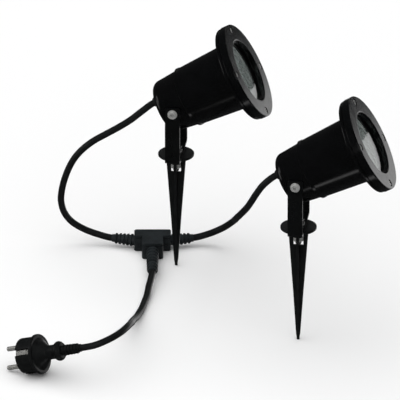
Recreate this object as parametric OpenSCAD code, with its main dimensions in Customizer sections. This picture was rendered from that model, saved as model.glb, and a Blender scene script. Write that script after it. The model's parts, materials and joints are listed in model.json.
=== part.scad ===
// Pair of garden spotlight projectors on ground spikes, wired by rubber leads through
// a T splitter to one plug. Millimetres, +Z up. The origin is the soil line of the left
// spike: the middle of the underside of its disc. Each lamp head is drawn in its own
// head frame first: origin at the pivot, +X along the beam, +Y along the pivot.

/* [Set] */
// Sideways step from the left spike to the right one
step_x = 122; // [110:1:140]
// Forward step from the left spike to the right one
step_y = 180; // [170:1:200]
// Angle of the beams above the horizontal
head_tilt = 28; // [0:1:70]
// Turn of the yokes about their spikes
head_yaw = 7; // [-20:1:20]

/* [Lamp head] */
// Outer diameter of the bezel
bezel_d = 100; // [96:1:110]
// Thickness of the bezel, front to back
bezel_t = 8; // [7:0.5:12]
// Diameter of the window in the bezel
window_d = 65; // [56:1:68]
// Diameter of the tube at its front flange
tube_front_d = 69; // [66:1:76]
// Diameter of the tube at the seam with the rear cap
tube_rear_d = 62; // [61:0.5:64]
// Distance from the pivot to the back of the bezel
bezel_x = 75.5; // [72:0.5:90]
// Distance from the pivot forward to the seam
seam_x = 14.5; // [14:0.5:20]
// Distance from the pivot back to the rear face
rear_x = 15; // [14:0.5:18]
// Wall thickness of the castings
wall = 2.5; // [2:0.1:3]

/* [Yoke] */
// Height of the pivot above the soil line
pivot_z = 58; // [54:1:64]
// Gap between the inner faces of the two arms
yoke_gap = 58.6; // [58.6:0.1:62]
// Width of the yoke strip
yoke_w = 15; // [12:1:20]
// Thickness of the yoke strip
yoke_t = 2; // [1.5:0.1:3]

/* [Ground spike] */
// Length of the spike below its disc
spike_len = 121; // [100:1:160]
// Diameter of the disc
disc_d = 36.4; // [30:0.2:44]
// Thickness of the disc
disc_t = 3; // [2:0.1:5]
// Width across the fins just below the disc
fin_top_w = 20.4; // [18:0.2:24]
// Width across the fins half way down
fin_mid_w = 10.4; // [7:0.1:12]
// Thickness of each fin
fin_t = 2.8; // [2.2:0.1:3.2]

/* [Splitter] */
// Width of the splitter block
block_w = 37.2; // [34:0.2:40]
// Depth of the wide part of the splitter block
block_d = 17.2; // [16:0.2:20]
// Height of the splitter block
block_h = 17; // [16:0.5:20]
// Width of the part that the stem lead enters
stem_w = 21.5; // [18:0.5:24]
// Depth of the part that the stem lead enters
stem_d = 19.6; // [16:0.2:24]

/* [Plug] */
// Diameter of the plug's grip flange
plug_d = 39.8; // [38:0.2:42]
// Diameter of the plug's front body
plug_front_d = 36; // [35:0.5:37]
// Distance between the two pins
pin_pitch = 19; // [19:0.5:19]
// Diameter of each pin
pin_d = 4.8; // [4.8:0.1:4.8]

/* [Leads] */
// Diameter of every rubber lead
lead_d = 6.8; // [6:0.1:8]
// Number of sides of the lead tubes
lead_sides = 10; // [8:1:12]

/* [Hidden] */
UNIT_PIECES = [
    "spike", "spike_nut", "yoke", "yoke_bolt", "yoke_washer", "pivot_screws",
    "pivot_washers", "rear_cap", "housing", "seam_gasket", "bezel", "bezel_screws",
    "glass", "glass_gasket", "lamp_body", "lamp_lens", "lamp_pins", "lamp_holder",
    "holder_bracket", "bracket_screws", "terminal_block", "cable_gland",
    "lead_upper", "lead_lower"
];
SHARED_PIECES = [
    "splitter_base", "splitter_lid", "splitter_boot_left", "splitter_boot_right",
    "splitter_boot_stem", "splitter_splices",
    "plug_body", "plug_pins", "plug_earth_clips", "plug_boot", "plug_lead"
];

// Colours
black_paint = [0.06, 0.06, 0.06];
black_rubber = [0.10, 0.11, 0.11];
slate_rubber = [0.14, 0.16, 0.17];
black_plastic = [0.09, 0.10, 0.10];
bright_steel = [0.75, 0.75, 0.73];
nickel = [0.85, 0.85, 0.83];
ceramic_white = [0.90, 0.88, 0.82];
seal_grey = [0.30, 0.30, 0.30];

round_fn = 96;
small_fn = 32;
clear = 0.05;

// Head frame, along the beam
front_x = bezel_x + bezel_t;
flange_t = 4.5;
flange_d = bezel_d - 1.5;
glass_d = window_d + 6.6;
glass_t = 3;
glass_back_x = bezel_x + 0.5;
glass_front_x = glass_back_x + glass_t;
gasket_in = 1.5;
tube_bore_front = window_d - 2;
tube_bore_rear = tube_rear_d - 6;
lip_x = 2.6;
screw_circle = bezel_d - 12.5;
screw_angles = [-19, 71, 161, 251];
cap_rear_r = 27.2;
cap_front_r = 29.4;
cap_round = 8;
cap_front_x = seam_x - 0.8;
spigot_r = tube_bore_rear / 2 - 0.3;
spigot_len = 7.8;
cap_floor_x = 3 - rear_x;
cap_bore_r = cap_rear_r - wall;
pivot_boss_y = yoke_gap / 2 - 0.1;
pivot_r = 2.5;
gland_up = 9;
gland_out = 5.3;

// Lamp and what holds it
lamp_front_x = 72;
lamp_r = 25;
lamp_back_x = 22;
holder_x = 6;
holder_r = 13;
bracket_t = 1.2;
post_z = 19;

// Yoke and bolt
base_z = disc_t;
arm_top = 6.5;
bolt_r = 3;
washer_t = 1;
bolt_head_h = 4;
hex_across = 10;
nut_top_z = -8;
nut_h = 5;
bolt_end_z = -16;

// Splitter, lying on the plane of the spike tips
floor_z = -spike_len;
block_x = -24;
block_front_y = 33;
lead_z = floor_z + block_h / 2;
lid_h = 3.2;
boot_turn = 15;
boot_len = 23;
stem_boot_len = 50;
boot_side_x = block_w / 2;
block_mid_y = block_front_y + block_d / 2;

// Plug
plug_at = [-136.5, -265, floor_z + 22.3];
plug_heading = 154.2;
plug_dip = 19;
plug_roll = 32;
plug_front_len = 17;
pin_len = 19;
plug_boot_x = -29;
plug_boot_len = 21;

// Points of the leads between their two ends. The lamp leads run from the gland to the
// splitter, and the plug lead from the splitter to the plug.
LEFT_POINTS = [
    [-34, 3.5, 47], [-45.5, 4.5, 37], [-58, 6, 28], [-71, 8, 19.5], [-83, 11, 11],
    [-93.5, 15.5, 0.5], [-102, 20.5, -11.5], [-108, 25, -24.5], [-112.5, 29.5, -38.5],
    [-115.5, 34, -53], [-116.5, 39, -67.5], [-113.5, 43.5, -82], [-106, 48, -94.5],
    [-94, 51, -104], [-79.5, 51, -110]
];
RIGHT_POINTS = [
    [87.5, -174, 45], [80, -167, 31.5], [75, -157, 18.5], [71, -145, 7], [67.5, -132, -3],
    [64.5, -118, -12.5], [63, -103, -21], [61.5, -88, -29], [60.5, -73, -37],
    [59.5, -58, -45], [59, -42.5, -52], [59.5, -26.5, -59], [60, -11, -65.5],
    [60.5, 5, -72], [59.5, 20, -80], [55.5, 33.5, -89.5], [47, 44, -100], [33.5, 49, -108.5]
];
PLUG_POINTS = [
    [-25.5, -52, -113.5], [-27.5, -67, -115], [-29, -82.5, -116.5], [-31.5, -97.5, -117.5],
    [-34, -112.5, -117.5], [-37, -127.5, -116.5], [-39.5, -142.5, -114],
    [-42, -157.5, -110], [-43.5, -172, -105], [-44, -186.5, -99.5], [-44.5, -200.5, -93.5],
    [-44, -214.5, -87.5], [-44.5, -228.5, -81.5], [-46, -243, -76.5], [-49, -258, -73],
    [-55.5, -272, -72.5], [-65.5, -283, -74], [-79.5, -288.5, -78]
];
// Points in the upper piece of a lamp lead; the lower piece begins at the last of them
upper_points = 6;

// ---------------------------------------------------------------- helpers

// Points of an arc in the plane, from angle a to angle b
function arc(cx, cy, r, a, b, steps = 6) =
    [for (i = [0:steps]) [cx + r * cos(a + (b - a) * i / steps), cy + r * sin(a + (b - a) * i / steps)]];

// Solid turned about the head's +X axis from [radius, x] points
module turned(points) {
    rotate([0, 90, 0]) rotate_extrude($fn = round_fn) polygon(points);
}

// Cylinder along +X from x1 to x2
module bar_x(x1, x2, r, r2 = -1, fn = small_fn) {
    translate([x1, 0, 0]) rotate([0, 90, 0])
        cylinder(h = x2 - x1, r1 = r, r2 = r2 < 0 ? r : r2, $fn = fn);
}

// Cylinder along +Y from y1 to y2
module bar_y(y1, y2, r, fn = small_fn) {
    translate([0, y1, 0]) rotate([-90, 0, 0]) cylinder(h = y2 - y1, r = r, $fn = fn);
}

// Box between two corners
module block(low, high) {
    translate(low) cube(high - low);
}

// Places a piece of one unit: the left one stands at the origin
module at_unit(side) {
    translate(side == "left" ? [0, 0, 0] : [step_x, -step_y, 0]) children();
}

// Turns a piece with its yoke
module in_yoke() {
    rotate([0, 0, -head_yaw]) children();
}

// Turns and tilts a piece with its lamp head
module in_head() {
    in_yoke() translate([0, 0, pivot_z]) rotate([0, -head_tilt, 0]) children();
}

// Repeats a piece at the four bezel screws
module at_bezel_screws() {
    for (a = screw_angles)
        rotate([a, 0, 0]) translate([0, 0, screw_circle / 2]) children();
}

// ---------------------------------------------------------------- ground spike

// Plate with the outline of two opposite fins
module fin_pair() {
    mid_z = -67;
    point_z = 6 - spike_len;
    right_edge = [[fin_top_w / 2, 1], [fin_mid_w / 2, mid_z], [2, point_z], [0.9, -spike_len]];
    left_edge = [for (i = [3:-1:0]) [-right_edge[i][0], right_edge[i][1]]];
    rotate([90, 0, 0]) linear_extrude(height = fin_t, center = true)
        polygon(concat(right_edge, left_edge));
}

module spike() {
    edge = 0.9;
    color(black_plastic)
    difference() {
        union() {
            rotate_extrude($fn = round_fn) polygon(concat(
                [[0, 0]],
                arc(disc_d / 2 - edge, edge, edge, -90, 0),
                arc(disc_d / 2 - edge, disc_t - edge, edge, 0, 90),
                [[0, disc_t]]
            ));
            translate([0, 0, nut_top_z]) cylinder(h = -nut_top_z, r = 6.6, $fn = round_fn);
            for (turn = [0, 90]) rotate([0, 0, turn - head_yaw]) fin_pair();
        }
        translate([0, 0, bolt_end_z - 1]) cylinder(h = 30, r = bolt_r + clear, $fn = small_fn);
        in_yoke() translate([0, 0, bolt_end_z - 2])
            cylinder(h = nut_top_z - bolt_end_z + 2, r = (hex_across + 0.1) / sqrt(3), $fn = 6);
    }
}

module spike_nut() {
    color(bright_steel) in_yoke()
    translate([0, 0, nut_top_z - nut_h])
    difference() {
        cylinder(h = nut_h, r = hex_across / sqrt(3), $fn = 6);
        translate([0, 0, -1]) cylinder(h = nut_h + 2, r = bolt_r + clear, $fn = small_fn);
    }
}

module yoke_bolt() {
    head_z = base_z + yoke_t + washer_t;
    color(black_paint) {
        translate([0, 0, bolt_end_z]) cylinder(h = head_z - bolt_end_z, r = bolt_r, $fn = small_fn);
        rotate([0, 0, 10]) translate([0, 0, head_z])
            cylinder(h = bolt_head_h, r = hex_across / sqrt(3), $fn = 6);
    }
}

module yoke_washer() {
    color(bright_steel)
    translate([0, 0, base_z + yoke_t])
    difference() {
        cylinder(h = washer_t, r = 6.5, $fn = small_fn);
        translate([0, 0, -1]) cylinder(h = washer_t + 2, r = bolt_r + clear, $fn = small_fn);
    }
}

// ---------------------------------------------------------------- yoke

// Outline of one arm, seen along the pivot
module arm_outline() {
    top_z = pivot_z + arm_top;
    corner = 2;
    low_z = base_z + 4;
    polygon(concat(
        [[-yoke_w / 2, low_z], [yoke_w / 2, low_z]],
        arc(yoke_w / 2 - corner, top_z - corner, corner, 0, 90),
        arc(corner - yoke_w / 2, top_z - corner, corner, 90, 180)
    ));
}

module yoke() {
    inner = yoke_gap / 2;
    outer = inner + yoke_t;
    bend_r = 4;
    color(black_paint) in_yoke()
    difference() {
        union() {
            for (side = [-1, 1])
                translate([0, side * (inner + yoke_t / 2) + yoke_t / 2, 0]) rotate([90, 0, 0])
                    linear_extrude(height = yoke_t) arm_outline();
            rotate([90, 0, 90]) translate([0, 0, -yoke_w / 2]) linear_extrude(height = yoke_w)
                polygon(concat(
                    arc(bend_r - outer, base_z + bend_r, bend_r, 180, 270),
                    arc(outer - bend_r, base_z + bend_r, bend_r, 270, 360),
                    arc(outer - bend_r, base_z + bend_r, bend_r - yoke_t, 360, 270),
                    arc(bend_r - outer, base_z + bend_r, bend_r - yoke_t, 270, 180)
                ));
        }
        translate([0, 0, pivot_z]) bar_y(-outer - 1, outer + 1, pivot_r + clear);
        translate([0, 0, base_z - 1]) cylinder(h = yoke_t + 2, r = bolt_r + clear, $fn = small_fn);
    }
}

module pivot_screws() {
    outer = yoke_gap / 2 + yoke_t;
    washer_out = outer + 0.8;
    head_h = 2.8;
    color(bright_steel) in_head()
    for (side = [-1, 1]) scale([1, side, 1])
    difference() {
        union() {
            bar_y(pivot_boss_y - 7.5, washer_out, pivot_r);
            translate([0, washer_out, 0]) rotate([-90, 0, 0]) rotate_extrude($fn = small_fn)
                polygon(concat([[0, 0], [3.9, 0]], arc(3.1, head_h - 0.8, 0.8, 0, 90), [[0, head_h]]));
        }
        translate([0, washer_out + 0.6, 0]) rotate([-90, 0, 0]) cylinder(h = 3, r = 2, $fn = 6);
    }
}

module pivot_washers() {
    outer = yoke_gap / 2 + yoke_t;
    color(bright_steel) in_head()
    for (side = [-1, 1]) scale([1, side, 1])
    difference() {
        bar_y(outer, outer + 0.8, 4.9);
        bar_y(outer - 1, outer + 2, pivot_r + clear);
    }
}

// ---------------------------------------------------------------- lamp head shell

module rear_cap() {
    side_arc = arc(cap_rear_r - cap_round, cap_round - rear_x, cap_round, -90, 0, 8);
    inner_r = cap_round - wall;
    inner_arc = arc(cap_bore_r - inner_r, cap_floor_x + inner_r, inner_r, 0, -90, 8);
    color(black_paint) in_head()
    difference() {
        union() {
            turned(concat(
                [[0, -rear_x]],
                side_arc,
                [[cap_front_r, cap_front_x], [spigot_r, cap_front_x]],
                [[spigot_r, cap_front_x + spigot_len], [spigot_r - wall, cap_front_x + spigot_len]],
                [[spigot_r - wall, seam_x - 6]],
                inner_arc,
                [[0, cap_floor_x]]
            ));
            for (side = [-1, 1]) scale([1, side, 1]) bar_y(20.5, pivot_boss_y, 6.5);
            for (z = [-post_z, post_z])
                translate([0, 0, z]) bar_x(cap_floor_x - 1, holder_x - bracket_t, 2.8);
        }
        for (side = [-1, 1]) scale([1, side, 1])
            bar_y(pivot_boss_y - 9, pivot_boss_y + 1, pivot_r + clear);
        translate([0, 0, gland_up]) bar_x(-rear_x - 1, cap_floor_x + 1, 5.5 + clear);
        for (z = [-post_z, post_z])
            translate([0, 0, z]) bar_x(-2, holder_x, 1.5 + clear);
    }
}

module housing() {
    seat_r = glass_d / 2 + 0.3;
    face_x = bezel_x;
    bore_r = tube_bore_front / 2;
    color(black_paint) in_head()
    difference() {
        turned(concat(
            [[tube_bore_rear / 2, seam_x], [tube_rear_d / 2, seam_x]],
            [[tube_rear_d / 2, seam_x + lip_x], [tube_rear_d / 2 - 0.5, seam_x + lip_x + 0.5]],
            [[tube_front_d / 2 - 0.4, face_x - flange_t - 3]],
            arc(tube_front_d / 2 + 2.6, face_x - flange_t - 3, 3, 180, 90),
            arc(flange_d / 2 - 2, face_x - flange_t + 2, 2, -90, 0),
            [[flange_d / 2, face_x - 0.8], [flange_d / 2 - 0.8, face_x], [seat_r, face_x]],
            [[seat_r, face_x - gasket_in], [bore_r, face_x - gasket_in]],
            [[bore_r, face_x - 8], [tube_bore_rear / 2, seam_x + 10]]
        ));
        at_bezel_screws() bar_x(face_x - flange_t - 1, face_x + 1, 1.7 + clear);
    }
}

module seam_gasket() {
    color(seal_grey) in_head()
    difference() {
        bar_x(cap_front_x, seam_x, cap_front_r - 0.3, fn = round_fn);
        bar_x(cap_front_x - 1, seam_x + 1, spigot_r + clear, fn = round_fn);
    }
}

module bezel() {
    pocket_r = glass_d / 2 + 0.4;
    edge = 1.2;
    color(black_paint) in_head()
    difference() {
        turned(concat(
            [[pocket_r, bezel_x], [bezel_d / 2 - 0.5, bezel_x], [bezel_d / 2, bezel_x + 0.5]],
            arc(bezel_d / 2 - edge, front_x - edge, edge, 0, 90),
            arc(window_d / 2 + edge, front_x - edge, edge, 90, 180),
            [[window_d / 2, glass_front_x], [pocket_r, glass_front_x]]
        ));
        at_bezel_screws() {
            bar_x(bezel_x - 1, front_x + 1, 2.1);
            bar_x(front_x - 2.4, front_x + 1, 3.7);
        }
    }
}

module bezel_screws() {
    head_x = front_x - 2.4;
    color(bright_steel) in_head()
    at_bezel_screws()
    difference() {
        union() {
            bar_x(bezel_x - flange_t, head_x + 0.5, 1.7);
            bar_x(head_x, front_x - 0.7, 3.5, 2.9);
        }
        for (turn = [20, 110])
            rotate([turn, 0, 0]) block([front_x - 1.7, -2, -0.4], [front_x, 2, 0.4]);
    }
}

module glass() {
    color([0.35, 0.40, 0.40, 0.6]) in_head()
    turned([
        [0, glass_back_x], [glass_d / 2 - 0.4, glass_back_x], [glass_d / 2, glass_back_x + 0.4],
        [glass_d / 2, glass_front_x - 0.4], [glass_d / 2 - 0.4, glass_front_x], [0, glass_front_x]
    ]);
}

module glass_gasket() {
    color(seal_grey) in_head()
    difference() {
        bar_x(bezel_x - gasket_in, glass_back_x, glass_d / 2, fn = round_fn);
        bar_x(bezel_x - gasket_in - 1, glass_back_x + 1, tube_bore_front / 2 + 0.3, fn = round_fn);
    }
}

// ---------------------------------------------------------------- lamp inside the head

module lamp_body() {
    color([0.85, 0.85, 0.83]) in_head()
    turned(concat(
        [[0, lamp_back_x], [9.5, lamp_back_x], [11.5, lamp_back_x + 2], [13, lamp_back_x + 16]],
        [[19, lamp_back_x + 28], [23, lamp_front_x - 12], [lamp_r, lamp_front_x - 6]],
        [[lamp_r, lamp_front_x], [lamp_r - 1.5, lamp_front_x], [lamp_r - 1.5, lamp_front_x - 3]],
        [[18, lamp_front_x - 14], [8, lamp_front_x - 22], [0, lamp_front_x - 24]]
    ));
}

module lamp_lens() {
    color([0.80, 0.82, 0.80]) in_head()
    turned([
        [0, lamp_front_x - 3], [lamp_r - 1.6, lamp_front_x - 3],
        [lamp_r - 1.6, lamp_front_x - 0.5], [0, lamp_front_x + 0.5]
    ]);
}

module lamp_pins() {
    color(nickel) in_head()
    for (side = [-1, 1]) translate([0, 5 * side, 0]) {
        bar_x(lamp_back_x - 6, lamp_back_x, 1.2);
        bar_x(lamp_back_x - 6, lamp_back_x - 4, 2.4);
    }
}

module lamp_holder() {
    color(ceramic_white) in_head()
    difference() {
        intersection() {
            bar_x(holder_x, lamp_back_x, holder_r, fn = round_fn);
            block([holder_x - 1, -holder_r, -8.5], [lamp_back_x + 1, holder_r, 8.5]);
        }
        for (side = [-1, 1]) translate([0, 5 * side, 0])
            bar_x(lamp_back_x - 8, lamp_back_x + 1, 2.5);
    }
}

module holder_bracket() {
    reach = 23;
    leg_end = 27;
    back_x = holder_x - bracket_t;
    color(bright_steel) in_head()
    difference() {
        union() {
            block([back_x, -6, -reach], [holder_x, 6, reach]);
            for (side = [-1, 1]) scale([1, 1, side])
                block([back_x, -6, reach - bracket_t], [leg_end, 6, reach]);
        }
        for (z = [-post_z, post_z])
            translate([0, 0, z]) bar_x(back_x - 1, holder_x + 1, 1.5 + clear);
    }
}

module bracket_screws() {
    color(bright_steel) in_head()
    for (z = [-post_z, post_z]) translate([0, 0, z]) {
        bar_x(-1, holder_x, 1.5);
        bar_x(holder_x, holder_x + 1.8, 2.6);
    }
}

module terminal_block() {
    color(ceramic_white) in_head()
    difference() {
        block([cap_floor_x, -12, -13], [1, 12, -3]);
        for (y = [-8, 0, 8]) {
            translate([0, y, -8]) bar_x(-6, 2, 1.6);
            translate([-5, y, -6]) cylinder(h = 4, r = 1.7, $fn = small_fn);
        }
    }
}

module cable_gland() {
    color(black_rubber) in_head()
    translate([0, 0, gland_up])
    turned([
        [0, -rear_x - gland_out], [lead_d / 2 + 0.9, -rear_x - gland_out],
        [6.2, -rear_x - 2.4], [7.4, -rear_x - 2], [7.4, -rear_x], [5.5, -rear_x],
        [5.5, cap_floor_x], [6.4, cap_floor_x], [6.4, cap_floor_x + 1.8],
        [4.8, cap_floor_x + 2.4], [4, 2], [0, 2]
    ]);
}

// ---------------------------------------------------------------- splitter

// Outline of the splitter block, drawn g inside its true edge
function block_outline(g) =
    let (
        corner = 2.6 - g,
        w = block_w / 2 - g,
        s = stem_w / 2 - g,
        front = block_front_y - stem_d + g,
        step = block_front_y + g,
        back = block_front_y + block_d - g
    )
    concat(
        arc(s - corner, front + corner, corner, -90, 0),
        [[s, step]],
        arc(w - corner, step + corner, corner, -90, 0),
        arc(w - corner, back - corner, corner, 0, 90),
        arc(corner - w, back - corner, corner, 90, 180),
        arc(corner - w, step + corner, corner, 180, 270),
        [[-s, step]],
        arc(corner - s, front + corner, corner, 180, 270)
    );

// Layer of the splitter block between two heights
module block_layer(low, high, g = 0) {
    translate([block_x, 0, floor_z + low]) linear_extrude(height = high - low)
        polygon(block_outline(g));
}

// Places a boot on the left (-1) or right (1) side of the splitter
module at_side(side) {
    translate([block_x + side * boot_side_x, block_mid_y, lead_z])
        rotate([0, 0, side > 0 ? 0 : 180]) children();
}

// Places the boot of the stem lead, which points forward
module at_stem() {
    translate([block_x, block_front_y - stem_d, lead_z]) rotate([0, 0, -90]) children();
}

module splitter_base() {
    top = block_h - lid_h;
    color(slate_rubber)
    difference() {
        union() {
            block_layer(0, 0.8, 0.6);
            block_layer(0.8, top);
        }
        block([block_x - 12, block_mid_y - 5, floor_z + 4], [block_x + 12, block_mid_y + 5, floor_z + top + 1]);
        for (side = [-1, 1]) at_side(side) bar_x(-8, 1, 3.6);
        at_stem() bar_x(-25, 1, 3.6);
        for (side = [-1, 1])
            translate([block_x + side * 13.6, block_front_y, floor_z + 7.7]) bar_y(-1, 0.8, 1.1);
    }
}

module splitter_lid() {
    top = block_h - lid_h;
    color(slate_rubber) {
        block_layer(top, top + 1, 1);
        block_layer(top + 1, block_h - 0.5);
        block_layer(block_h - 0.5, block_h, 0.6);
    }
}

// Ribbed sleeve along +X, with a plain stub behind x = 0
module boot(len, ribs, root_r, end_r, rib_h) {
    pitch = (len - 3) / ribs;
    rib_w = 0.52 * pitch;
    slope = (end_r - root_r) / len;
    turned(concat(
        [[0, -2], [root_r, -2]],
        [for (i = [0:ribs - 1]) let (x = 1.5 + i * pitch, r = root_r + slope * x) each
            [[r, x], [r + rib_h, x + 0.3], [r + rib_h + slope * rib_w, x + rib_w - 0.3], [r, x + rib_w]]],
        [[end_r, len - 1], [end_r, len], [0, len]]
    ));
}

module side_boot(side) {
    color(slate_rubber) {
        difference() {
            at_side(side) rotate([0, 0, side * boot_turn]) boot(boot_len, 5, 5.3, 3.9, 1.2);
            block([block_x - boot_side_x, 0, floor_z - 1], [block_x + boot_side_x, 90, 0]);
        }
        at_side(side) bar_x(-6, 0, 3.5);
    }
}

module splitter_boot_left() {
    side_boot(-1);
}

module splitter_boot_right() {
    side_boot(1);
}

module splitter_boot_stem() {
    color(slate_rubber) at_stem() {
        intersection() {
            boot(stem_boot_len, 7, 5.4, 4.2, 1.2);
            bar_x(0, stem_boot_len, 12);
        }
        bar_x(2 - stem_d, 0, 3.5);
    }
}

module splitter_splices() {
    color(bright_steel)
    for (y = [-3.2, 0, 3.2])
        translate([block_x - 5, block_mid_y + y, floor_z + 4 + 1.3])
            rotate([0, 90, 0]) rotate([0, 0, 30]) cylinder(h = 10, r = 1.3 / cos(30), $fn = 6);
}

// ---------------------------------------------------------------- plug

// Plug frame: origin at the front of the grip flange, +X along the pins
module in_plug() {
    translate(plug_at) rotate([0, 0, plug_heading]) rotate([0, plug_dip, 0]) rotate([plug_roll, 0, 0])
        children();
}

module plug_body() {
    grip_r = plug_d / 2;
    front_r = plug_front_d / 2;
    color(black_rubber) in_plug()
    difference() {
        turned(concat(
            [[0, plug_boot_x], [7.6, plug_boot_x]],
            arc(5.9, plug_boot_x + 4, 4, -60, 60, 8),
            [[7.2, -19], [7.2, -12.5], [8.4, -11], [13.6, -5.6], [15.4, -4.4], [16.4, -3.4]],
            arc(grip_r - 1, -2.4, 1, -90, 0, 4),
            arc(grip_r - 0.8, -0.8, 0.8, 0, 90, 4),
            [[front_r, 0]],
            arc(front_r - 1.5, plug_front_len - 1.5, 1.5, 0, 90, 5),
            [[0, plug_front_len]]
        ));
        for (z = [-pin_pitch / 2, pin_pitch / 2])
            translate([0, 0, z]) bar_x(8.9, plug_front_len + 1, 2.25);
        for (side = [-1, 1]) scale([1, side, 1])
            block([0.6, 14.4, -3.2], [plug_front_len + 1, 20, 3.2]);
        for (side = [-1, 1]) scale([1, 1, side])
            block([3, -2.6, 16.2], [plug_front_len + 1, 2.6, 20]);
    }
}

module plug_pins() {
    r = pin_d / 2;
    end_x = plug_front_len + pin_len;
    color(nickel) in_plug()
    for (z = [-pin_pitch / 2, pin_pitch / 2])
        translate([0, 0, z]) turned(concat(
            [[0, 9], [2.2, 9], [2.2, plug_front_len], [r, plug_front_len]],
            arc(r - 1.5, end_x - 1.5, 1.5, 0, 90, 5),
            [[0, end_x]]
        ));
}

module plug_earth_clips() {
    color(nickel) in_plug()
    for (side = [-1, 1]) scale([1, side, 1]) {
        block([0.6, 14.4, -2.3], [plug_front_len - 0.8, 15.2, 2.3]);
        block([4.5, 15.2, -2.3], [10.5, 15.9, 2.3]);
    }
}

module plug_boot() {
    color(black_rubber) in_plug()
    translate([plug_boot_x, 0, 0]) mirror([1, 0, 0])
    intersection() {
        boot(plug_boot_len, 5, 4.6, 4, 1);
        bar_x(0, plug_boot_len, 12);
    }
}

// ---------------------------------------------------------------- leads

function unit(v) = v / norm(v);

// Turns a vector about Z
function about_z(v, a) = [v[0] * cos(a) - v[1] * sin(a), v[0] * sin(a) + v[1] * cos(a), v[2]];

// Direction in the set's frame of a direction in the head frame's XZ plane
function head_way(x, z) =
    about_z([x * cos(head_tilt) - z * sin(head_tilt), 0, x * sin(head_tilt) + z * cos(head_tilt)], -head_yaw);

// Direction of the route at point i, from its neighbours
function heading(route, i, first, last) =
    i == 0 ? first : i == len(route) - 1 ? last : unit(route[i + 1] - route[i - 1]);

// Ring of points about p, square to direction d, counted from the side that faces along up
function ring(p, d, up, r, sides) =
    let (a = unit(cross(d, up)), b = cross(d, a))
    [for (k = [0:sides - 1]) p + r * (a * cos(360 * k / sides) + b * sin(360 * k / sides))];

// Tube swept along points i1 to i2 of a route as one closed solid
module lead(route, first, last, up, i1, i2) {
    s = lead_sides;
    n = i2 - i1;
    points = [for (i = [i1:i2]) each ring(route[i], heading(route, i, first, last), up, lead_d / 2, s)];
    walls = [for (i = [0:n - 1], k = [0:s - 1]) let (a = i * s + k, b = i * s + (k + 1) % s) each
        [[b, a, a + s], [b, a + s, b + s]]];
    start_face = [for (k = [0:s - 1]) k];
    end_face = [for (k = [s - 1:-1:0]) n * s + k];
    color(black_rubber) polyhedron(points, concat([start_face], walls, [end_face]));
}

beam = head_way(1, 0);
gland_tip = [0, 0, pivot_z] + head_way(-rear_x - gland_out, gland_up);
step_right = [step_x, -step_y, 0];
boot_reach = boot_len * [cos(boot_turn), sin(boot_turn), 0];
left_boot_tip = [block_x - boot_side_x - boot_reach[0], block_mid_y + boot_reach[1], lead_z];
right_boot_tip = [block_x + boot_side_x + boot_reach[0], block_mid_y + boot_reach[1], lead_z];
stem_boot_tip = [block_x, block_front_y - stem_d - stem_boot_len, lead_z];
plug_way = about_z([cos(plug_dip), 0, -sin(plug_dip)], plug_heading);
plug_boot_tip = plug_at + plug_way * (plug_boot_x - plug_boot_len);

LEFT_ROUTE = concat([gland_tip], LEFT_POINTS, [left_boot_tip]);
RIGHT_ROUTE = concat([gland_tip + step_right], RIGHT_POINTS, [right_boot_tip]);
PLUG_ROUTE = concat([stem_boot_tip], PLUG_POINTS, [plug_boot_tip]);

module lead_upper(side) {
    route = side == "left" ? LEFT_ROUTE : RIGHT_ROUTE;
    up = side == "left" ? [0, 1, 0] : [0, 0, 1];
    lead(route, -beam, [0, 0, 0], up, 0, upper_points - 1);
}

module lead_lower(side) {
    route = side == "left" ? LEFT_ROUTE : RIGHT_ROUTE;
    up = side == "left" ? [0, 1, 0] : [0, 0, 1];
    arrive = [side == "left" ? cos(boot_turn) : -cos(boot_turn), -sin(boot_turn), 0];
    lead(route, -beam, arrive, up, upper_points - 1, len(route) - 1);
}

module plug_lead() {
    lead(PLUG_ROUTE, [0, -1, 0], plug_way, [0, 0, 1], 0, len(PLUG_ROUTE) - 1);
}

// ---------------------------------------------------------------- the set

for (side = ["left", "right"]) {
    at_unit(side) spike();
    at_unit(side) spike_nut();
    at_unit(side) yoke();
    at_unit(side) yoke_bolt();
    at_unit(side) yoke_washer();
    at_unit(side) pivot_screws();
    at_unit(side) pivot_washers();
    at_unit(side) rear_cap();
    at_unit(side) housing();
    at_unit(side) seam_gasket();
    at_unit(side) bezel();
    at_unit(side) bezel_screws();
    at_unit(side) glass();
    at_unit(side) glass_gasket();
    at_unit(side) lamp_body();
    at_unit(side) lamp_lens();
    at_unit(side) lamp_pins();
    at_unit(side) lamp_holder();
    at_unit(side) holder_bracket();
    at_unit(side) bracket_screws();
    at_unit(side) terminal_block();
    at_unit(side) cable_gland();
    lead_upper(side);
    lead_lower(side);
}
splitter_base();
splitter_lid();
splitter_boot_left();
splitter_boot_right();
splitter_boot_stem();
splitter_splices();
plug_body();
plug_pins();
plug_earth_clips();
plug_boot();
plug_lead();
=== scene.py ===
import json
import math

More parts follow.
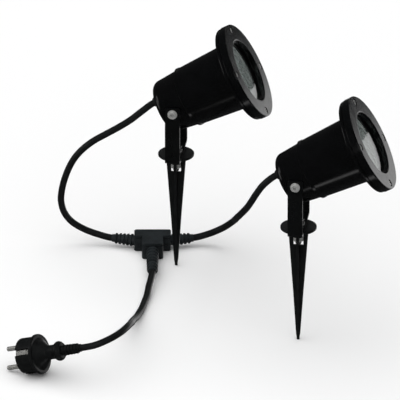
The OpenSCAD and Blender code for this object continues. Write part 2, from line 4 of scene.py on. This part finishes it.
import bmesh
import bpy
import numpy as np
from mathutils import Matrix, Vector

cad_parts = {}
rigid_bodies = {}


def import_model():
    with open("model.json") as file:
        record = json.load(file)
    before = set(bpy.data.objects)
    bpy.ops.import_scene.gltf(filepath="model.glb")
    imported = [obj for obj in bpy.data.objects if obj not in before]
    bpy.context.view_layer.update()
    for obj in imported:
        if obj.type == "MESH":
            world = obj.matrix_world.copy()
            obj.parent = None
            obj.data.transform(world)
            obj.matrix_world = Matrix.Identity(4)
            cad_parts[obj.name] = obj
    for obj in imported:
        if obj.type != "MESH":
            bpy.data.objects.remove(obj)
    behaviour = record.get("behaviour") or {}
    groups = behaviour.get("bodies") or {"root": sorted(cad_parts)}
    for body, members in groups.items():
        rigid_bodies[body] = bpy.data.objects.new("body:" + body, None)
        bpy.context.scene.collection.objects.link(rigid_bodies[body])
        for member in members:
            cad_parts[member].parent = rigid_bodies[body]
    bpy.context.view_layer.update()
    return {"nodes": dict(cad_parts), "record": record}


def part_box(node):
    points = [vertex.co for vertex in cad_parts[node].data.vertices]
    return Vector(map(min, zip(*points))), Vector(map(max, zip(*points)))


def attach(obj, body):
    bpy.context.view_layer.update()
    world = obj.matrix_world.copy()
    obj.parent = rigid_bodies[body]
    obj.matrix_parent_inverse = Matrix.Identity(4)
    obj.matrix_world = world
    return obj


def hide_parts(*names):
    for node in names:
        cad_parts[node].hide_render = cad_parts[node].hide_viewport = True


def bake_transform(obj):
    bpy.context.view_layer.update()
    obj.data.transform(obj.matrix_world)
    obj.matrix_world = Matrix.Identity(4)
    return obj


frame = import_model()
FLOOR_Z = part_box("splitter_base")[0][2]

# ------------------------------------------------------------------ camera

# Width of the view at the set, the camera's height above level, and what it looks at
VIEW_WIDTH = 0.400
ELEVATION = math.radians(24)
AIM = Vector((0.024, -0.100, -0.0049))
LENS = 1200


def make_camera():
    camera_data = bpy.data.cameras.new("camera")
    camera_data.lens = LENS
    camera = bpy.data.objects.new("camera", camera_data)
    bpy.context.scene.collection.objects.link(camera)
    distance = VIEW_WIDTH * LENS / camera_data.sensor_width
    back = Vector((0, -math.cos(ELEVATION), math.sin(ELEVATION)))
    camera.location = AIM + back * distance
    camera.rotation_mode = "QUATERNION"
    camera.rotation_quaternion = (-back).to_track_quat("-Z", "Y")
    camera_data.clip_start, camera_data.clip_end = 0.1, 100
    bpy.context.scene.camera = camera


# ------------------------------------------------------------------ mesh helpers


def new_piece(name, vertices, faces, smooth=True):
    """Mesh object with its normals facing out, in the scene."""
    mesh = bpy.data.meshes.new(name)
    mesh.from_pydata([tuple(v) for v in vertices], [], faces)
    shape = bmesh.new()
    shape.from_mesh(mesh)
    bmesh.ops.recalc_face_normals(shape, faces=shape.faces)
    shape.to_mesh(mesh)
    shape.free()
    for face in mesh.polygons:
        face.use_smooth = smooth
    piece = bpy.data.objects.new(name, mesh)
    bpy.context.scene.collection.objects.link(piece)
    return piece


def smooth_path(points, first, last, steps):
    """Points of a Catmull-Rom curve through the given ones, with its end directions set."""
    p = np.array(points, float)
    reach = np.linalg.norm(p[1] - p[0]), np.linalg.norm(p[-1] - p[-2])
    before = p[1] - 2 * reach[0] * np.array(first) / np.linalg.norm(first)
    after = p[-2] + 2 * reach[1] * np.array(last) / np.linalg.norm(last)
    p = np.vstack([before, p, after])
    path = []
    for i in range(1, len(p) - 2):
        a, b, c, d = p[i - 1], p[i], p[i + 1], p[i + 2]
        for t in np.arange(steps) / steps:
            path.append(0.5 * (2 * b + (c - a) * t + (2 * a - 5 * b + 4 * c - d) * t**2
                               + (3 * b - a - 3 * c + d) * t**3))
    return np.array(path + [p[-2]])


def tube(name, path, radius, sides=24):
    """Closed tube along a path, its rings square to it."""
    path = np.array(path)
    ahead = np.gradient(path, axis=0)
    ahead /= np.linalg.norm(ahead, axis=1)[:, None]
    across = np.cross(ahead[0], (0.3, 0.1, 1.0))
    vertices, faces = [], []
    for point, along in zip(path, ahead):
        across = across - along * (across @ along)
        across /= np.linalg.norm(across)
        other = np.cross(along, across)
        for k in range(sides):
            a = 2 * math.pi * k / sides
            vertices.append(point + radius * (across * math.cos(a) + other * math.sin(a)))
    for i in range(len(path) - 1):
        for k in range(sides):
            a, b = i * sides + k, i * sides + (k + 1) % sides
            faces.append((a, b, b + sides, a + sides))
    faces.append(tuple(range(sides)))
    faces.append(tuple(range((len(path) - 1) * sides, len(path) * sides)))
    piece = new_piece(name, vertices, faces)
    for face in piece.data.polygons[-2:]:
        face.use_smooth = False
    return piece


# ------------------------------------------------------------------ cords

CORD_R = 0.0034
# Point of a lamp lead's route where its upper stretch ends and its lower one begins
SPLIT = 5
# Drawn points for each stretch between two points of a route
STEPS = 8
LEFT_ROUTE = [
    (-0.022, 0.0027, 0.0564),
    (-0.034, 0.0035, 0.047), (-0.0455, 0.0045, 0.037), (-0.058, 0.006, 0.028),
    (-0.071, 0.008, 0.0195), (-0.083, 0.011, 0.011), (-0.0935, 0.0155, 0.0005),
    (-0.102, 0.0205, -0.0115), (-0.108, 0.025, -0.0245), (-0.1125, 0.0295, -0.0385),
    (-0.1155, 0.034, -0.053), (-0.1165, 0.039, -0.0675), (-0.1135, 0.0435, -0.082),
    (-0.106, 0.048, -0.0945), (-0.094, 0.051, -0.104), (-0.0795, 0.051, -0.110),
    (-0.0648, 0.0476, -0.1125),
]
RIGHT_ROUTE = [
    (0.100, -0.1773, 0.0564),
    (0.0875, -0.174, 0.045), (0.080, -0.167, 0.0315), (0.075, -0.157, 0.0185),
    (0.071, -0.145, 0.007), (0.0675, -0.132, -0.003), (0.0645, -0.118, -0.0125),
    (0.063, -0.103, -0.021), (0.0615, -0.088, -0.029), (0.0605, -0.073, -0.037),
    (0.0595, -0.058, -0.045), (0.059, -0.0425, -0.052), (0.0595, -0.0265, -0.059),
    (0.060, -0.011, -0.0655), (0.0605, 0.005, -0.072), (0.0595, 0.020, -0.080),
    (0.0555, 0.0335, -0.0895), (0.047, 0.044, -0.100), (0.0335, 0.049, -0.1085),
    (0.0168, 0.0476, -0.1125),
]
PLUG_ROUTE = [
    (-0.024, -0.0366, -0.1125),
    (-0.0255, -0.052, -0.1135), (-0.0275, -0.067, -0.115), (-0.029, -0.0825, -0.1165),
    (-0.0315, -0.0975, -0.1175), (-0.034, -0.1125, -0.1175), (-0.037, -0.1275, -0.1165),
    (-0.0395, -0.1425, -0.114), (-0.042, -0.1575, -0.110), (-0.0435, -0.172, -0.105),
    (-0.044, -0.1865, -0.0995), (-0.0445, -0.2005, -0.0935), (-0.044, -0.2145, -0.0875),
    (-0.0445, -0.2285, -0.0815), (-0.046, -0.243, -0.0765), (-0.049, -0.258, -0.073),
    (-0.0555, -0.272, -0.0725), (-0.0655, -0.283, -0.074), (-0.0795, -0.2885, -0.078),
    (-0.0939, -0.2856, -0.0824),
]
# Directions that the leads leave and arrive in
GLAND_WAY = (-0.8764, 0.1076, -0.4695)
STEM_WAY = (0, -1, 0)
PLUG_WAY = (-0.8513, 0.4115, -0.3256)
BOOT_WAYS = {"left": (0.9659, -0.2588, 0), "right": (-0.9659, -0.2588, 0)}


def make_cords():
    """The two lamp leads, each in two stretches, and the plug lead."""
    for side, route in (("left", LEFT_ROUTE), ("right", RIGHT_ROUTE)):
        path = smooth_path(route, GLAND_WAY, BOOT_WAYS[side], STEPS)
        cut = SPLIT * STEPS
        parts = {"upper": path[:cut + 1], "lower": path[cut:]}
        for part, run in parts.items():
            cord = tube(f"{side}_cord_{part}", run, CORD_R)
            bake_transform(cord)
            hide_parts(f"{side}_lead_{part}")
            cord.data.materials.append(MATERIALS["lead_rubber"])
    path = smooth_path(PLUG_ROUTE, STEM_WAY, PLUG_WAY, STEPS)
    cord = tube("plug_cord", path, CORD_R)
    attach(cord, "root")
    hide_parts("plug_lead")
    cord.data.materials.append(MATERIALS["lead_rubber"])


# ------------------------------------------------------------------ materials


class Finish:
    """One procedural material and the nodes it is made of."""

    def __init__(self, name, base, roughness, metallic=0.0, specular=0.5):
        self.material = bpy.data.materials.new(name)
        self.material.use_nodes = True
        self.nodes = self.material.node_tree.nodes
        self.links = self.material.node_tree.links
        self.shader = self.nodes["Principled BSDF"]
        self.base, self.roughness = base, roughness
        self.set("Base Color", (*base, 1))
        self.set("Roughness", roughness)
        self.set("Metallic", metallic)
        self.set("Specular IOR Level", specular)
        self.where = self.nodes.new("ShaderNodeTexCoord").outputs["Object"]
        self.bump = None

    def set(self, socket, value):
        self.shader.inputs[socket].default_value = value

    def noise(self, scale, detail=3.0, stretch=(1, 1, 1)):
        mapping = self.nodes.new("ShaderNodeMapping")
        mapping.inputs["Scale"].default_value = stretch
        self.links.new(self.where, mapping.inputs["Vector"])
        noise = self.nodes.new("ShaderNodeTexNoise")
        noise.inputs["Scale"].default_value = scale
        noise.inputs["Detail"].default_value = detail
        self.links.new(mapping.outputs[0], noise.inputs["Vector"])
        return noise.outputs[0]

    def spread(self, source, low, high, from_low=0.3, from_high=0.7):
        """Number from low to high as the source goes between its own two values."""
        scale = self.nodes.new("ShaderNodeMapRange")
        for name, value in (("From Min", from_low), ("From Max", from_high),
                            ("To Min", low), ("To Max", high)):
            scale.inputs[name].default_value = value
        self.links.new(source, scale.inputs["Value"])
        return scale.outputs[0]

    def vary_colour(self, source, darker, lighter, from_low=0.3, from_high=0.7):
        ramp = self.nodes.new("ShaderNodeValToRGB")
        ramp.color_ramp.elements[0].color = (*[c * darker for c in self.base], 1)
        ramp.color_ramp.elements[1].color = (*[min(c * lighter, 1) for c in self.base], 1)
        ramp.color_ramp.elements[0].position = from_low
        ramp.color_ramp.elements[1].position = from_high
        self.links.new(source, ramp.inputs[0])
        self.links.new(ramp.outputs[0], self.shader.inputs["Base Color"])

    def vary_roughness(self, source, low, high, from_low=0.3, from_high=0.7):
        self.links.new(self.spread(source, low, high, from_low, from_high),
                       self.shader.inputs["Roughness"])

    def add_bump(self, source, depth, strength=1.0):
        bump = self.nodes.new("ShaderNodeBump")
        bump.inputs["Distance"].default_value = depth
        bump.inputs["Strength"].default_value = strength
        self.links.new(source, bump.inputs["Height"])
        if self.bump:
            self.links.new(self.bump.outputs[0], bump.inputs["Normal"])
        self.bump = bump
        self.links.new(bump.outputs[0], self.shader.inputs["Normal"])


def paint(name, base, roughness, peel):
    """Sprayed paint: orange peel, patchy gloss and a little dust."""
    finish = Finish(name, base, roughness)
    patches = finish.noise(60, 4)
    finish.vary_colour(patches, 0.8, 1.4)
    finish.vary_roughness(finish.noise(90, 5), roughness * 0.85, roughness * 1.2)
    finish.add_bump(finish.noise(700, 2), peel)
    finish.add_bump(finish.noise(2600, 2), peel * 0.25)
    return finish.material


def rubber(name, base, roughness, grain, specular=0.35):
    """Moulded rubber: fine matt grain, slight bloom and handling marks."""
    finish = Finish(name, base, roughness, specular=specular)
    finish.vary_colour(finish.noise(140, 5), 0.75, 1.45)
    finish.vary_roughness(finish.noise(45, 4), roughness * 0.85, roughness * 1.15)
    finish.add_bump(finish.noise(1900, 3), grain)
    finish.add_bump(finish.noise(220, 3), grain * 1.5)
    return finish.material


def plated(name, base, roughness, streak=(1, 1, 12), metallic=1.0):
    """Plated metal: fine turning marks, dull patches."""
    finish = Finish(name, base, roughness, metallic=metallic)
    finish.vary_colour(finish.noise(260, 4), 0.94, 1.03)
    finish.vary_roughness(finish.noise(420, 4), roughness * 0.7, roughness * 1.4)
    finish.add_bump(finish.noise(900, 2, streak), 0.000006)
    return finish.material


def front_glass():
    finish = Finish("front_glass", (0.62, 0.70, 0.67), 0.04, specular=0.2)
    finish.set("Transmission Weight", 1.0)
    finish.set("IOR", 1.5)
    finish.vary_roughness(finish.noise(120, 5), 0.01, 0.05, 0.4, 0.75)
    finish.add_bump(finish.noise(35, 2), 0.00002)
    return finish.material


def ceramic():
    finish = Finish("holder_ceramic", (0.78, 0.75, 0.68), 0.35)
    finish.vary_colour(finish.noise(300, 5), 0.92, 1.05)
    finish.add_bump(finish.noise(800, 3), 0.00004)
    return finish.material


def lamp_plastic(name, base, roughness):
    finish = Finish(name, base, roughness)
    finish.vary_colour(finish.noise(150, 3), 0.95, 1.04)
    finish.vary_roughness(finish.noise(200, 3), roughness * 0.8, roughness * 1.3)
    return finish.material


MATERIALS = {
    "head_paint": paint("head_paint", (0.0014, 0.0015, 0.0017), 0.16, 0.000008),
    "yoke_paint": paint("yoke_paint", (0.0022, 0.0025, 0.0026), 0.30, 0.00002),
    "zinc_steel": plated("zinc_steel", (0.80, 0.80, 0.78), 0.34, metallic=0.72),
    "nickel": plated("nickel", (0.80, 0.79, 0.75), 0.22, metallic=0.8),
    "spike_plastic": rubber("spike_plastic", (0.0050, 0.0056, 0.0058), 0.42, 0.00003, 0.45),
    "front_glass": front_glass(),
    "seal_rubber": rubber("seal_rubber", (0.0060, 0.0062, 0.0062), 0.6, 0.00004),
    "lamp_reflector": plated("lamp_reflector", (0.06, 0.07, 0.065), 0.3, (1, 1, 1)),
    "lamp_lens": lamp_plastic("lamp_lens", (0.03, 0.037, 0.034), 0.25),
    "holder_ceramic": ceramic(),
    "block_plastic": lamp_plastic("block_plastic", (0.75, 0.76, 0.75), 0.4),
    "lead_rubber": rubber("lead_rubber", (0.0062, 0.0070, 0.0072), 0.40, 0.00003),
    "splitter_rubber": rubber("splitter_rubber", (0.0130, 0.0160, 0.0175), 0.46, 0.00004),
    "plug_rubber": rubber("plug_rubber", (0.0050, 0.0054, 0.0055), 0.36, 0.00003),
}


def dress_cad_nodes():
    """Gives each CAD node the finish of its material slot."""
    for part in frame["record"]["subparts"]:
        node = frame["nodes"][part["node"]]
        for child in [node, *node.children_recursive]:
            if child.type == "MESH":
                child.data.materials.clear()
                child.data.materials.append(MATERIALS[part["material_slot"]])


# ------------------------------------------------------------------ stage


FLOOR_REACH = 8
FLOOR_GAP = 0.0002
WORLD_COLOUR = (0.95, 0.98, 1, 1)
WORLD_STRENGTH = 0.035
SKY_STRENGTH = 3.5
SKY_SPREAD = math.radians(120)
SKY_TURN = (math.radians(12), math.radians(-14), 0)
# Glowing cards: name, centre, way they face, width and height, strength
CARDS = [
    ("back_card", (0.62, 0.80, -0.352), (-0.51, -0.86, 0), (1.5, 0.60), 1.1),
    ("far_card", (0.62, 0.80, 0.60), (-0.51, -0.86, 0), (1.5, 0.40), 0.3),
    ("left_card", (-1.2, -0.1, 0.1), (1, 0, 0), (0.5, 0.9), 0.9),
    ("front_card", (0.5, -0.9, -1.2), (-0.3, 1, 0), (1.2, 0.35), 1.2),
    ("screw_card", (-0.25, -1.5, 0.55), (0, 1, 0), (0.5, 0.5), 1.0),
]


def make_floor():
    """White ground, which the glossy parts don't mirror, so that they stay dark."""
    r = FLOOR_REACH
    z = FLOOR_Z - FLOOR_GAP
    corners = [(-r, -r, z), (r, -r, z), (r, r, z), (-r, r, z)]
    floor = new_piece("floor", corners, [(0, 1, 2, 3)], False)
    finish = Finish("floor", (0.92, 0.92, 0.92), 0.9, specular=0.0)
    finish.vary_colour(finish.noise(3, 2), 0.995, 1.0)
    floor.data.materials.append(finish.material)
    floor.visible_glossy = False


def glow_card(name, centre, towards, size, strength):
    """Upright glowing card that only glossy surfaces see, facing a point."""
    across = Vector(towards).cross(Vector((0, 0, 1))).normalized() * size[0] / 2
    up = Vector((0, 0, size[1] / 2))
    middle = Vector(centre)
    corners = [middle - across - up, middle + across - up, middle + across + up, middle - across + up]
    card = new_piece(name, corners, [(0, 1, 2, 3)], False)
    glow = Finish(name, (0, 0, 0), 1.0, specular=0.0)
    glow.set("Emission Color", (1, 1, 1, 1))
    glow.set("Emission Strength", strength)
    card.data.materials.append(glow.material)
    card.visible_camera = False
    card.visible_diffuse = False
    card.visible_transmission = False
    card.visible_shadow = False


def make_lights():
    """Dim world and soft sky, with cards that only the glossy parts see."""
    world = bpy.data.worlds.new("studio")
    bpy.context.scene.world = world
    world.use_nodes = True
    background = world.node_tree.nodes["Background"]
    background.inputs["Color"].default_value = WORLD_COLOUR
    background.inputs["Strength"].default_value = WORLD_STRENGTH
    data = bpy.data.lights.new("sky_light", "SUN")
    data.energy = SKY_STRENGTH
    data.angle = SKY_SPREAD
    light = bpy.data.objects.new("sky_light", data)
    light.rotation_euler = SKY_TURN
    light.visible_glossy = False
    bpy.context.scene.collection.objects.link(light)
    for card in CARDS:
        glow_card(*card)


make_camera()
make_cords()
dress_cad_nodes()
make_floor()
make_lights()
bpy.context.scene.view_settings.view_transform = "Standard"
